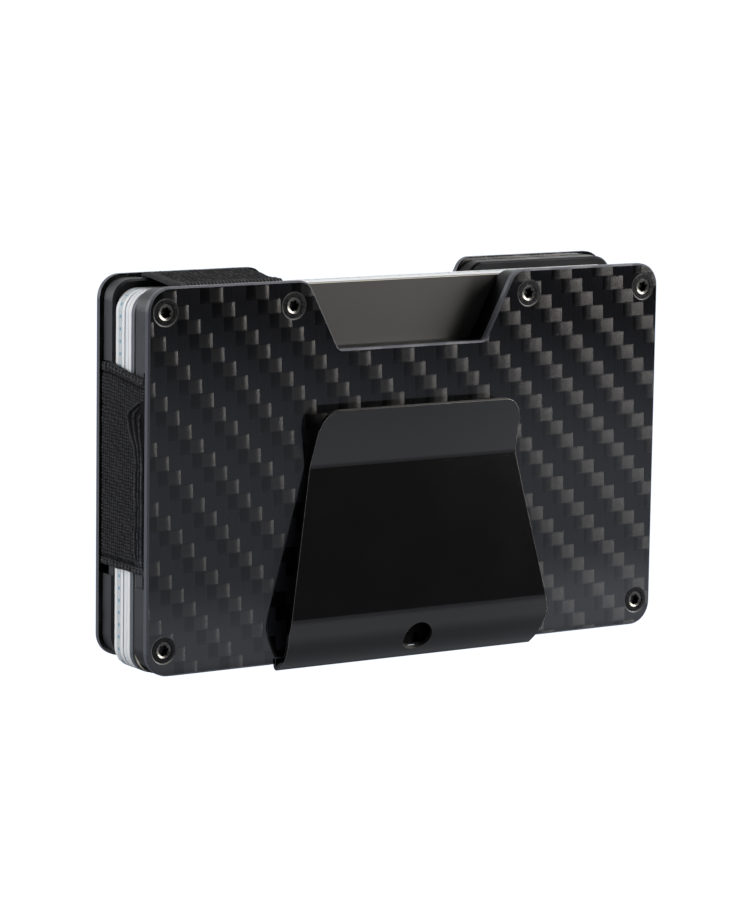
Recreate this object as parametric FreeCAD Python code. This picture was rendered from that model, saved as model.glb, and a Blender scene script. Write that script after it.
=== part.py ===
"""Minimalist card wallet: two carbon-fibre shells, cards, elastic bands and a bent spring money clip.

Lengths are in millimetres. +X runs along the long side towards the open end, +Y from the clip
towards the back plate, and +Z up across the cards. The parts are drawn with the front plate's outer
face at y = 0 and the plates' lower edge at z = 0, and moved to the shared origin when written.
"""
import FreeCAD
import Part
import math
import os

# Cards, to the bank-card standard
CARD_L = 85.6
CARD_H = 53.98
CARD_T = 0.76
CARD_R = 3.18
CARD_COUNT = 7
CARD_GAP = 0.08
STACK_GAP = 0.32  # the wider gap that splits the stack
STACK_SPLIT = 4  # cards in front of that gap
CARD_OUT = 0.2  # how far the stack stands towards the open end
CARD_1_OUT = 0.3  # how much further the front card does
CARD_DROP = 0.8  # how far the stack hangs below the plates' centre

# Outer plates
PLATE_L = 87.0
PLATE_H = 54.6
PLATE_T = 1.05
PLATE_R = 3.4
PLATE_CHAMFER = 0.25

# Inner frames
FRONT_FRAME_T = 3.75
BACK_FRAME_T = 3.05
FRAME_INSET = 0.5
FRAME_R = 3.0
FRAME_CHAMFER = 0.3
FRONT_SHELL_T = PLATE_T + FRONT_FRAME_T
BACK_SHELL_T = PLATE_T + BACK_FRAME_T
CARDS_ROOM = CARD_COUNT * CARD_T + CARD_COUNT * CARD_GAP + STACK_GAP
TOTAL_T = FRONT_SHELL_T + CARDS_ROOM + BACK_SHELL_T
BACK_RISE = 0.6  # how much higher the back shell sits in its elastic bands

# Thumb notch
NOTCH_TOP = 17.7
NOTCH_FOOT = 12.5
NOTCH_DEPTH = 10.1
NOTCH_MOUTH_R = 2.4
NOTCH_FOOT_R = 1.0

# Screws
SCREW_X = 40.8
SCREW_NOTCH_X = 20.1
SCREW_TOP_Z = 51.1
SCREW_LOW_Z = 3.75
SINK_R = 2.0
HEAD_R = 1.78
HEAD_SUNK = 0.08
SHANK_R = 0.98
HOLE_R = 1.0
SCREW_END = 3.6
SOCKET_CORE_R = 0.62
SOCKET_LOBE_R = 0.2
SOCKET_LOBE_AT = 0.64
SOCKET_DEPTH = 0.7
BEAD_R = 1.12  # inner edge of the groove that leaves a raised bead round the socket
GROOVE_R = 1.38
GROOVE_DEPTH = 0.08
SINK_MORE = 0.5  # extra length of cutting tools beyond a face

# Elastic bands
ELASTIC_T = 0.73
LOOP_X0 = -37.5
LOOP_X1 = -20.7
LOOP_Y = 2.265  # middle of the band inside a shell
STRAP_Y = 1.47
STRAP_Z0 = 14.2
STRAP_Z1 = 42.0
STRAP_END_X = -22.0
STRAP_RECESS = 0.25
CHANNEL_DEPTH = 1.65

# Money clip, as its outer line
CLIP_T = 0.6
CLIP_TAB_Y = 1.77
CLIP_TAB_TOP = 11.0
CLIP_LOW_ANGLE = 38.0
CLIP_LOW_R = 0.75
CLIP_SWEEP_R = 8.0
CLIP_FOOT = (-0.5, -0.15)
CLIP_BELLY = (-3.5, 5.05)
CLIP_TOUCH = (-0.75, 28.1)
CLIP_LIP = (-3.3, 36.2)
CLIP_TOUCH_R = 2.0
CLIP_FEET_IN = 10.4
CLIP_FEET_OUT = 21.85
CLIP_WIDE = 22.35
CLIP_NARROW = 17.65
CLIP_LIP_HALF = 17.1
CLIP_CORNER_R = 3.0
CLIP_HOLE_R = 2.4
CLIP_HOLE_Z = 2.3
CLIP_RELIEF = 0.75
CLIP_SPLIT_Z = 4.4
CLIP_SPLIT_GAP = 0.12
PEG_X = 16.0
PEG_Z = 6.2
PEG_R = 1.0

V = FreeCAD.Vector


def prism_y(face, depth):
    """Extrude a face drawn in the XZ plane along +Y."""
    return face.extrude(V(0, depth, 0))


def rounded_rect(x0, z0, x1, z1, radius, y=0.0):
    """Face with rounded corners in the XZ plane."""
    box = Part.makeBox(x1 - x0, 1.0, z1 - z0, V(x0, y, z0))
    upright = [e for e in box.Edges if abs(e.tangentAt(e.FirstParameter).y) > 0.9]
    body = box.makeFillet(radius, upright)
    return [f for f in body.Faces if f.BoundBox.YMax < y + 1e-6][0]


def box(x0, x1, y0, y1, z0, z1):
    """Box from its limits."""
    return Part.makeBox(x1 - x0, y1 - y0, z1 - z0, V(x0, y0, z0))


def unit(a, b):
    """Unit vector from a to b in a plane."""
    length = math.hypot(b[0] - a[0], b[1] - a[1])
    return (b[0] - a[0]) / length, (b[1] - a[1]) / length


def corner(before, at, after, radius, offset):
    """Start, middle and end of the arc that rounds one corner, shifted to the left by offset."""
    din = unit(before, at)
    dout = unit(at, after)
    turn = math.atan2(din[0] * dout[1] - din[1] * dout[0], din[0] * dout[0] + din[1] * dout[1])
    reach = radius * math.tan(abs(turn) / 2)
    side = 1.0 if turn > 0 else -1.0
    start = (at[0] - din[0] * reach, at[1] - din[1] * reach)
    centre = (start[0] - din[1] * radius * side, start[1] + din[0] * radius * side)
    own = radius - side * offset
    points = []
    for share in (0.0, 0.5, 1.0):
        angle = math.atan2(din[1], din[0]) - side * math.pi / 2 + turn * share
        points.append((centre[0] + own * math.cos(angle), centre[1] + own * math.sin(angle)))
    return points


def offset_run(path, radii, offset, closed):
    """Edges of a rounded path shifted to its left by offset, and its two ends."""
    count = len(path)
    inner = range(count) if closed else range(1, count - 1)
    arcs = [corner(path[i - 1], path[i], path[(i + 1) % count], radii[i], offset) for i in inner]
    edges = []
    if closed:
        stops = arcs + [arcs[0]]
        first = last = None
    else:
        d0 = unit(path[0], path[1])
        d1 = unit(path[-2], path[-1])
        first = (path[0][0] - d0[1] * offset, path[0][1] + d0[0] * offset)
        last = (path[-1][0] - d1[1] * offset, path[-1][1] + d1[0] * offset)
        stops = [[first] * 3] + arcs + [[last] * 3]
    for i, stop in enumerate(stops[:-1]):
        if stop[0] != stop[2]:
            edges.append(("arc", stop))
        edges.append(("line", [stop[2], stops[i + 1][0]]))
    return edges, first, last


def wire(edges, lift):
    """Part edges from plane runs; lift turns a plane point into a 3-D vector."""
    made = []
    for kind, pts in edges:
        if kind == "arc":
            made.append(Part.Arc(lift(pts[0]), lift(pts[1]), lift(pts[2])).toShape())
        else:
            made.append(Part.makeLine(lift(pts[0]), lift(pts[1])))
    return made


def ribbon(path, radii, low, high, lift, closed=False):
    """Face of a bent strip between two offsets of one path."""
    one, start_a, end_a = offset_run(path, radii, low, closed)
    two, start_b, end_b = offset_run(path, radii, high, closed)
    if closed:
        rings = [Part.Wire(Part.__sortEdges__(wire(run, lift))) for run in (one, two)]
        faces = sorted((Part.Face(r) for r in rings), key=lambda f: f.Area)
        return faces[1].cut(faces[0]).Faces[0]
    edges = wire(one, lift) + wire(two, lift)
    edges.append(Part.makeLine(lift(start_a), lift(start_b)))
    edges.append(Part.makeLine(lift(end_a), lift(end_b)))
    return Part.Face(Part.Wire(Part.__sortEdges__(edges)))


def in_yz(x):
    """Map a plane point (y, z) to space at the given x."""
    return lambda p: V(x, p[0], p[1])


def in_xy(z):
    """Map a plane point (x, y) to space at the given z."""
    return lambda p: V(p[0], p[1], z)


def in_xz(y):
    """Map a plane point (x, z) to space at the given y."""
    return lambda p: V(p[0], y, p[1])


def plate_outline(inset, radius, depth, y):
    """Solid of a shell's outline, with its rounded corners and its thumb notch."""
    half = PLATE_L / 2 - inset
    top = PLATE_H - inset
    foot_z = PLATE_H - NOTCH_DEPTH
    path = [
        (-half, inset),
        (half, inset),
        (half, top),
        (NOTCH_TOP + inset * 0.4, top),
        (NOTCH_FOOT + inset * 0.4, foot_z),
        (-NOTCH_FOOT - inset * 0.4, foot_z),
        (-NOTCH_TOP - inset * 0.4, top),
        (-half, top),
    ]
    radii = [radius, radius, radius, NOTCH_MOUTH_R, NOTCH_FOOT_R, NOTCH_FOOT_R, NOTCH_MOUTH_R, radius]
    edges, _, _ = offset_run(path, radii, 0.0, True)
    face = Part.Face(Part.Wire(Part.__sortEdges__(wire(edges, in_xz(y)))))
    return prism_y(face, depth)


def rim_edges(solid, y):
    """Edges of a solid that lie in the plane at height y."""
    found = []
    for edge in solid.Edges:
        limits = edge.BoundBox
        if abs(limits.YMin - y) < 1e-6 and abs(limits.YMax - y) < 1e-6:
            found.append(edge)
    return found


def screw_places():
    """Centres of the six screws of one shell."""
    places = [(sx * SCREW_X, z) for sx in (-1, 1) for z in (SCREW_LOW_Z, SCREW_TOP_Z)]
    return places + [(sx * SCREW_NOTCH_X, SCREW_TOP_Z) for sx in (-1, 1)]


def outer_plate(with_relief):
    """Carbon-fibre face plate, chamfered on its outer face and countersunk for its screws."""
    plate = plate_outline(0.0, PLATE_R, PLATE_T, 0.0)
    if with_relief:
        half = CLIP_WIDE + 0.4
        plate = plate.cut(box(-half, half, -1, PLATE_T + 1, -1, CLIP_RELIEF))
    plate = plate.makeChamfer(PLATE_CHAMFER, rim_edges(plate, 0.0))
    for x, z in screw_places():
        wide = SINK_R + SINK_MORE
        narrow = HOLE_R + 0.06
        sink = Part.makeCone(wide, narrow, wide - narrow, V(x, -SINK_MORE, z), V(0, 1, 0))
        hole = Part.makeCylinder(narrow, PLATE_T + 1, V(x, -SINK_MORE, z), V(0, 1, 0))
        plate = plate.cut(sink).cut(hole)
    return plate


def frame(thick, with_clip):
    """Aluminium inner frame, with channels for the elastic bands and, in front, a seat for the clip."""
    body = plate_outline(FRAME_INSET, FRAME_R, thick, PLATE_T)
    body = body.makeChamfer(FRAME_CHAMFER, rim_edges(body, PLATE_T) + rim_edges(body, PLATE_T + thick))
    deep = PLATE_T + CHANNEL_DEPTH
    loop_way = box(LOOP_X0 - 0.3, LOOP_X1 + 0.3, PLATE_T - 1, deep, -1, PLATE_H + 1)
    side_way = box(-PLATE_L, STRAP_END_X + 1.5, PLATE_T - 1, deep, STRAP_Z0 - 2.0, STRAP_Z1 + 0.6)
    edge = -PLATE_L / 2 + FRAME_INSET + STRAP_RECESS
    recess = box(-PLATE_L, edge, 0.0, TOTAL_T, STRAP_Z0 - 2.0, STRAP_Z1 + 0.6)
    pocket = prism_y(rounded_rect(-17.0, 14.0, 36.0, 40.0, 2.0, PLATE_T - 1), 1 + CHANNEL_DEPTH)
    body = body.cut(loop_way).cut(side_way).cut(recess).cut(pocket)
    if with_clip:
        seat_top = CLIP_TAB_TOP + 0.3
        seat_deep = CLIP_TAB_Y + 0.05
        for side in (-1, 1):
            x0 = min(side * (CLIP_FEET_IN - 0.3), side * (CLIP_FEET_OUT + 0.3))
            x1 = max(side * (CLIP_FEET_IN - 0.3), side * (CLIP_FEET_OUT + 0.3))
            body = body.cut(box(x0, x1, PLATE_T - 1, seat_deep, -1, seat_top))
            peg = Part.makeCylinder(PEG_R, thick - 0.5, V(side * PEG_X, PLATE_T, PEG_Z), V(0, 1, 0))
            body = body.fuse(peg)
    for x, z in screw_places():
        start = V(x, PLATE_T - 1, z)
        body = body.cut(Part.makeCylinder(HOLE_R, SCREW_END - PLATE_T + 1.1, start, V(0, 1, 0)))
    return body.removeSplitter()


def star_socket(x, z):
    """Six-lobed driver recess."""
    tool = Part.makeCylinder(SOCKET_CORE_R, SOCKET_DEPTH + 1, V(x, HEAD_SUNK - 1, z), V(0, 1, 0))
    for k in range(6):
        angle = math.radians(60 * k + 12)
        dx = SOCKET_LOBE_AT * math.cos(angle)
        dz = SOCKET_LOBE_AT * math.sin(angle)
        at = V(x + dx, HEAD_SUNK - 1, z + dz)
        tool = tool.fuse(Part.makeCylinder(SOCKET_LOBE_R, SOCKET_DEPTH + 1, at, V(0, 1, 0)))
    return tool


def screw(x, z):
    """Countersunk screw with a star socket and a raised bead round it."""
    cone_h = HEAD_R - SHANK_R
    head = Part.makeCone(HEAD_R, SHANK_R, cone_h, V(x, HEAD_SUNK, z), V(0, 1, 0))
    neck = HEAD_SUNK + cone_h
    shank = Part.makeCylinder(SHANK_R, SCREW_END - neck, V(x, neck, z), V(0, 1, 0))
    long = SINK_MORE + GROOVE_DEPTH
    start = V(x, HEAD_SUNK - SINK_MORE, z)
    groove = Part.makeCylinder(GROOVE_R, long, start, V(0, 1, 0))
    groove = groove.cut(Part.makeCylinder(BEAD_R, long, start, V(0, 1, 0)))
    return head.fuse(shank).cut(star_socket(x, z)).cut(groove).removeSplitter()


def screws():
    """The six screws of one shell."""
    return Part.makeCompound([screw(x, z) for x, z in screw_places()])


def clip_strip():
    """The clip as one bent strip, before it is split at the line where it flexes."""
    angle = math.radians(CLIP_LOW_ANGLE)
    slope = math.tan(angle)
    low_z = CLIP_FOOT[1] + (CLIP_FOOT[0] - CLIP_TAB_Y) * slope
    lean = (CLIP_TOUCH[0] - CLIP_BELLY[0]) / (CLIP_TOUCH[1] - CLIP_BELLY[1])
    # the low run meets the leaf where both lines have the same y
    apart = CLIP_FOOT[0] + CLIP_FOOT[1] / slope - CLIP_BELLY[0] + lean * CLIP_BELLY[1]
    z = apart / (lean + 1 / slope)
    y = CLIP_BELLY[0] + lean * (z - CLIP_BELLY[1])
    path = [(CLIP_TAB_Y, CLIP_TAB_TOP), (CLIP_TAB_Y, low_z), (y, z), CLIP_TOUCH, CLIP_LIP]
    radii = [0.0, CLIP_LOW_R, CLIP_SWEEP_R, CLIP_TOUCH_R, 0.0]
    half = CLIP_WIDE + 1
    face = ribbon(path, radii, -CLIP_T, 0.0, in_yz(-half))
    return face.extrude(V(2 * half, 0, 0)), (y, z)


def clip_mask():
    """The clip's outline as seen from the front, as a block."""
    path = [
        (-CLIP_FEET_OUT, -6.0),
        (CLIP_FEET_OUT, -6.0),
        (CLIP_FEET_OUT, 0.5),
        (CLIP_WIDE, 4.5),
        (CLIP_NARROW, CLIP_TOUCH[1]),
        (CLIP_LIP_HALF, CLIP_LIP[1]),
        (-CLIP_LIP_HALF, CLIP_LIP[1]),
        (-CLIP_NARROW, CLIP_TOUCH[1]),
        (-CLIP_WIDE, 4.5),
        (-CLIP_FEET_OUT, 0.5),
    ]
    radii = [0.5, 0.5, 1.0, 1.0, 2.0, CLIP_CORNER_R, CLIP_CORNER_R, 2.0, 1.0, 1.0]
    edges, _, _ = offset_run(path, radii, 0.0, True)
    face = Part.Face(Part.Wire(Part.__sortEdges__(wire(edges, in_xz(-8.0)))))
    return prism_y(face, 12.0)


def clip_parts():
    """The clip's tab with its lower bend, and its leaf with the flared lip."""
    strip, sweep = clip_strip()
    tab_block = box(-CLIP_WIDE - 2, CLIP_WIDE + 2, 0.9, 4.0, -6.0, CLIP_TAB_TOP + 1)
    front = strip.cut(tab_block).common(clip_mask())
    tab = strip.common(tab_block).common(box(-CLIP_FEET_OUT, CLIP_FEET_OUT, 0, 4, -6, CLIP_TAB_TOP + 1))
    tab = tab.cut(box(-CLIP_FEET_IN, CLIP_FEET_IN, 0, 4, -6, CLIP_TAB_TOP + 1))
    for side in (-1, 1):
        tab = tab.cut(Part.makeCylinder(PEG_R + 0.05, 4, V(side * PEG_X, 0, PEG_Z), V(0, 1, 0)))
    whole = front.fuse(tab).removeSplitter()
    centre = sweep_centre(sweep)
    rise = math.asin((centre[1] - CLIP_HOLE_Z) / (CLIP_SWEEP_R - CLIP_T / 2))
    aim = V(0, -math.cos(rise), -math.sin(rise))
    start = V(0, centre[0], centre[1]) + aim * (CLIP_SWEEP_R - 2.5)
    hole = Part.makeCylinder(CLIP_HOLE_R, 4.0, start, aim)
    whole = whole.cut(hole)
    pivot, along = clip_pivot(centre)
    knife = Part.makeBox(80, 6, CLIP_SPLIT_GAP, V(-40, -3, -CLIP_SPLIT_GAP / 2))
    knife.rotate(V(0, 0, 0), V(1, 0, 0), math.degrees(along))
    knife.translate(V(0, pivot[0], pivot[1]))
    pieces = sorted(whole.cut(knife).Solids, key=lambda s: s.BoundBox.ZMax)
    return pieces[:-1], pieces[-1]


def sweep_centre(sweep):
    """Centre of the large bend between the low run and the leaf."""
    angle = math.radians(CLIP_LOW_ANGLE)
    low = (sweep[0] + math.cos(angle), sweep[1] - math.sin(angle))
    din = unit(low, sweep)
    dout = unit(sweep, CLIP_TOUCH)
    turn = math.acos(din[0] * dout[0] + din[1] * dout[1])
    reach = CLIP_SWEEP_R * math.tan(turn / 2)
    start = (sweep[0] - din[0] * reach, sweep[1] - din[1] * reach)
    return start[0] + din[1] * CLIP_SWEEP_R, start[1] - din[0] * CLIP_SWEEP_R


def clip_pivot(centre):
    """Point on the middle of the strip where the leaf flexes, and the strip's angle there."""
    middle = CLIP_SWEEP_R - CLIP_T / 2
    rise = math.asin((centre[1] - CLIP_SPLIT_Z) / middle)
    return (centre[0] - middle * math.cos(rise), CLIP_SPLIT_Z), rise


def elastic_loop():
    """Closed band round both shells and the cards' long edges, pinned by a screw in each shell."""
    y0 = LOOP_Y
    y1 = TOTAL_T - LOOP_Y
    over = PLATE_H - FRAME_INSET + 0.04 + ELASTIC_T / 2
    under = FRAME_INSET - 0.04 - ELASTIC_T / 2
    sag = (PLATE_H - CARD_H) / 2 - CARD_DROP - 0.05 - ELASTIC_T / 2
    path = [
        (y0, under),
        (FRONT_SHELL_T - 0.6, sag),
        (TOTAL_T - BACK_SHELL_T + 0.6, sag),
        (y1, under + BACK_RISE),
        (y1, over + BACK_RISE),
        (TOTAL_T - BACK_SHELL_T - 0.3, over + BACK_RISE),
        (FRONT_SHELL_T + 0.3, over),
        (y0, over),
    ]
    radii = [0.45, 0.8, 0.8, 0.45, 0.5, 3.0, 3.0, 0.5]
    face = ribbon(path, radii, -ELASTIC_T / 2, ELASTIC_T / 2, in_yz(LOOP_X0), True)
    band = face.extrude(V(LOOP_X1 - LOOP_X0, 0, 0))
    for y, z in ((0.0, SCREW_TOP_Z), (TOTAL_T / 2, SCREW_TOP_Z + BACK_RISE)):
        start = V(-SCREW_NOTCH_X, y, z)
        band = band.cut(Part.makeCylinder(SHANK_R + 0.25, TOTAL_T / 2, start, V(0, 1, 0)))
    return band


def elastic_side():
    """Strap across the closed end, sewn to the loop inside each shell."""
    x = -PLATE_L / 2 + FRAME_INSET + STRAP_RECESS - 0.02 - ELASTIC_T / 2
    far = TOTAL_T - STRAP_Y
    path = [(STRAP_END_X, STRAP_Y), (x, STRAP_Y), (x, far), (STRAP_END_X, far)]
    face = ribbon(path, [0.0, 0.45, 0.45, 0.0], -ELASTIC_T / 2, ELASTIC_T / 2, in_xy(STRAP_Z0))
    return face.extrude(V(0, 0, STRAP_Z1 - STRAP_Z0))


def stitches():
    """Thread of the bar tacks that join the strap to the loop inside one shell."""
    rows = []
    for x in (-34.0, -25.0):
        for k in range(9):
            z = STRAP_Z0 + 3.0 + k * 2.7
            rows.append(box(x, x + 0.35, PLATE_T + 0.02, PLATE_T + CHANNEL_DEPTH - 0.03, z, z + 1.5))
    return Part.makeCompound(rows)


def card(index):
    """One blank card; index 0 is the front card."""
    y = FRONT_SHELL_T + CARD_GAP + index * (CARD_T + CARD_GAP)
    if index >= STACK_SPLIT:
        y += STACK_GAP - CARD_GAP
    z = (PLATE_H - CARD_H) / 2 - CARD_DROP
    x = CARD_OUT - CARD_L / 2 + (CARD_1_OUT if index == 0 else 0.0)
    return prism_y(rounded_rect(x, z, x + CARD_L, z + CARD_H, CARD_R, y), CARD_T)


def to_back(shape):
    """Mirror a front-shell part to the back shell."""
    mirrored = shape.mirror(V(0, TOTAL_T / 2, 0), V(0, 1, 0))
    mirrored.translate(V(0, 0, BACK_RISE))
    return mirrored


def build():
    """All parts by node name, in drawing coordinates."""
    clip_low, leaf = clip_parts()
    strap = elastic_side()
    loop = elastic_loop()
    tacks = stitches()
    strap = strap.cut(tacks).cut(to_back(tacks))
    loop = loop.cut(tacks).cut(to_back(tacks))
    parts = {
        "front_outer_plate": outer_plate(True),
        "front_frame": frame(FRONT_FRAME_T, True),
        "front_screws": screws(),
        "front_stitching": tacks,
        "clip_tab": Part.makeCompound(clip_low) if len(clip_low) > 1 else clip_low[0],
        "clip_leaf": leaf,
        "elastic_loop": loop,
        "elastic_side": strap,
        "back_outer_plate": to_back(outer_plate(False)),
        "back_frame": to_back(frame(BACK_FRAME_T, False)),
        "back_screws": to_back(screws()),
        "back_stitching": to_back(tacks),
    }
    for index in range(CARD_COUNT):
        parts["card_%d" % (index + 1)] = card(index)
    return parts


def main():
    """Move every part to the shared origin and write it."""
    parts = build()
    limits = FreeCAD.BoundBox()
    for shape in parts.values():
        limits.add(shape.optimalBoundingBox(False, False))
    shift = V(-limits.Center.x, -limits.Center.y, -limits.ZMin)
    print("shift", [round(c, 4) for c in shift])
    print("size", [round(c, 3) for c in (limits.XLength, limits.YLength, limits.ZLength)])
    os.makedirs("parts", exist_ok=True)
    for name, shape in parts.items():
        shape.translate(shift)
        b = shape.BoundBox
        limits_mm = [round(v, 3) for v in (b.XMin, b.XMax, b.YMin, b.YMax, b.ZMin, b.ZMax)]
        print(name, len(shape.Solids), shape.isValid(), limits_mm)
        shape.exportStep("parts/%s.step" % name)
    _, sweep = clip_strip()
    pivot, _ = clip_pivot(sweep_centre(sweep))
    print("clip pivot", round(pivot[0] + shift.y, 4), round(pivot[1] + shift.z, 4))


main()
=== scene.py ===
"""Looks of the minimalist wallet: its bent clip, its elastic bands and the finish of every part.

Shapes are worked out in millimetres in the wallet's drawing coordinates: y = 0 is the front
plate's outer face and z = 0 the plates' lower edge. at() turns them into the shared frame, in
metres. In material code, sizes are millimetres too, and colours are linear.
"""
import math

import bmesh
import bpy
import numpy as np
from mathutils import Matrix, Vector


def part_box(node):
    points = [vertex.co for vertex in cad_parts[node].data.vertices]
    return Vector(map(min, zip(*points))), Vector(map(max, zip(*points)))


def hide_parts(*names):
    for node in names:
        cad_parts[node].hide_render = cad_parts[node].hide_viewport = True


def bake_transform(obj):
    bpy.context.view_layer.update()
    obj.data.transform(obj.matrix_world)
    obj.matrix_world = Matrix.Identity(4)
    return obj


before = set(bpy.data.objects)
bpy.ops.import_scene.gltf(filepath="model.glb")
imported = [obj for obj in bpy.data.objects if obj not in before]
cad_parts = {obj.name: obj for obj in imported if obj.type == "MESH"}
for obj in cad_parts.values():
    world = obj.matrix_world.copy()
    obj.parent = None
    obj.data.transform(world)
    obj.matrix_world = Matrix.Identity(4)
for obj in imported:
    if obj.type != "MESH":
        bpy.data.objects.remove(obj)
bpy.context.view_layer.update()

MM = 0.001
FRONT_LOW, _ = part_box("front_outer_plate")
BACK_LOW, BACK_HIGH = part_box("back_outer_plate")
ORIGIN_Y = FRONT_LOW.y
ORIGIN_Z = FRONT_LOW.z
TOTAL_T = (BACK_HIGH.y - FRONT_LOW.y) / MM
BACK_RISE = (BACK_LOW.z - FRONT_LOW.z) / MM
PLATE_TOP = 54.6

# Money clip: the outer line of the strip as (y, z), from the top of its tab to the end of its lip,
# and half its width as (z, x)
CLIP_T = 0.6
CLIP_PATH = [(1.77, 11.0), (1.77, -1.9235), (-3.8125, 2.4372), (-0.75, 28.1), (-3.3, 36.2)]
CLIP_RADII = [0, 0.75, 8.0, 2.0, 0]
CLIP_STEPS = [12, 1.5, 30, 4]
CLIP_SIDES = [(-6.0, 21.85), (0.5, 21.85), (4.5, 22.35), (28.1, 17.65), (36.2, 17.1)]
CLIP_STATIONS = 26
CLIP_CORNER_R = 3.0
CLIP_CORNER_PARTS = 12
# The tab is two feet with a gap between them, which ends at y = CLIP_FEET_TO on the small bend;
# that bend lies below CLIP_TAB_Y
CLIP_TAB_Y = 1.7
CLIP_FEET_IN = 10.4
CLIP_FEET_TO = 0.9
CLIP_HOLE_R = 2.4
CLIP_HOLE_Z = 2.3
CLIP_HOLE_PARTS = 48
CLIP_EDGE = 0.09

# Elastic bands: how their long edges are rounded off, and the middle line of each
ELASTIC_T = 0.73
ROLL_WIDTH = 0.3
ROLL_SHARE = 0.9
LOOP_X = (-37.5, -20.7)
LOOP_Y = 2.265
LOOP_LOW = 0.095
LOOP_SAG = -0.905
LOOP_TOP = 54.505
SHELL_IN = (4.8, 11.0)
STRAP_Y = 1.47
STRAP_X = -43.135
STRAP_END_X = -22.0
STRAP_Z = (14.2, 42.0)
# Spacing of the points along and across a band: fine where it shows or bends, else coarse
FINE = 0.1
COARSE = 1.2

# Screws, as (x, z)
SCREWS = [(x, z) for x in (-40.8, 40.8) for z in (3.75, 51.1)] + [(-20.1, 51.1), (20.1, 51.1)]

# Camera
CAMERA_YAW = -32.75
CAMERA_PITCH = 8.52
CAMERA_ROLL = 0.84
CAMERA_FAR = 559.2
CAMERA_AIM = (0.0, 7.5, 27.0)
CAMERA_SHIFT = (2.55, -0.25)
CAMERA_LENS = 151.1
CAMERA_SENSOR = 36.0


def at(x, y, z):
    """Drawing coordinates in mm to the shared frame in metres."""
    return Vector((x * MM, y * MM + ORIGIN_Y, z * MM + ORIGIN_Z))


# ---------------------------------------------------------------- shapes


def unit(a, b):
    """The direction from a to b, both in a plane."""
    length = math.hypot(b[0] - a[0], b[1] - a[1])
    return (b[0] - a[0]) / length, (b[1] - a[1]) / length


def trace(path, radii, steps, closed=False, arc_step=0.1):
    """Points, left normals and lengths along a path with rounded corners.

    radii has one number for each corner, and steps the spacing on each straight.
    """
    count = len(path)
    arcs = []
    for i in range(count):
        here = path[i]
        if not closed and i in (0, count - 1):
            arcs.append((here, here, None))
            continue
        din = unit(path[i - 1], here)
        dout = unit(here, path[(i + 1) % count])
        turn = math.atan2(din[0] * dout[1] - din[1] * dout[0],
                          din[0] * dout[0] + din[1] * dout[1])
        reach = radii[i] * math.tan(abs(turn) / 2)
        side = 1.0 if turn > 0 else -1.0
        start = (here[0] - din[0] * reach, here[1] - din[1] * reach)
        end = (here[0] + dout[0] * reach, here[1] + dout[1] * reach)
        centre = (start[0] - din[1] * radii[i] * side, start[1] + din[0] * radii[i] * side)
        first = math.atan2(din[1], din[0]) - side * math.pi / 2
        arcs.append((start, end, (centre, radii[i], side, first, turn)))
    points, normals = [], []
    for i in range(count):
        start, end, arc = arcs[i]
        if arc:
            centre, radius, side, first, turn = arc
            parts = max(3, math.ceil(abs(turn) * radius / arc_step))
            for k in range(parts + 1):
                angle = first + turn * k / parts
                ray = (math.cos(angle), math.sin(angle))
                points.append((centre[0] + radius * ray[0], centre[1] + radius * ray[1]))
                normals.append((-side * ray[0], -side * ray[1]))
        if i == count - 1 and not closed:
            break
        after = arcs[(i + 1) % count][0]
        way = unit(end, after)
        length = math.hypot(after[0] - end[0], after[1] - end[1])
        parts = max(1, math.ceil(length / steps[i]))
        lowest = 0 if not arc else 1
        highest = parts - 1 if arcs[(i + 1) % count][2] else parts
        for k in range(lowest, highest + 1):
            points.append((end[0] + way[0] * length * k / parts,
                           end[1] + way[1] * length * k / parts))
            normals.append((-way[1], way[0]))
    points = np.array(points)
    normals = np.array(normals)
    lengths = np.concatenate([[0.0], np.cumsum(np.hypot(*np.diff(points, axis=0).T))])
    return points, normals, lengths


def add_object(name, data):
    """An object in the scene that shows a mesh, a light or a camera."""
    obj = bpy.data.objects.new(name, data)
    bpy.context.scene.collection.objects.link(obj)
    return obj


def add_mesh(name, verts, faces):
    """An object with a mesh of these points and faces."""
    mesh = bpy.data.meshes.new(name)
    mesh.from_pydata([tuple(v) for v in verts], [], [tuple(f) for f in faces])
    mesh.validate()
    mesh.update()
    return add_object(name, mesh)


# ---- the clip: a flat pattern with a hole, bevelled, cut into rows and bent


BORE = "bore"  # point attribute of the clip: 1 on the wall of its hole
SHARP = 1.3  # radians between two faces of the flat pattern that meet at its outline
CAP_UP = 0.999  # a face of the flat pattern is a cap when it points up or down this much
WALL_UP = 0.01  # and a wall when it points up or down less than this
TINY = 1e-6


def along(s, lengths, table):
    """Both columns of a table of points or normals, read off at length s."""
    return [float(np.interp(s, lengths, column)) for column in table.T]


def ring(centre_s, radius, parts):
    """A circle in the flat pattern."""
    angles = [2 * math.pi * k / parts for k in range(parts)]
    return [(radius * math.cos(a), centre_s + radius * math.sin(a)) for a in angles]


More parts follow.
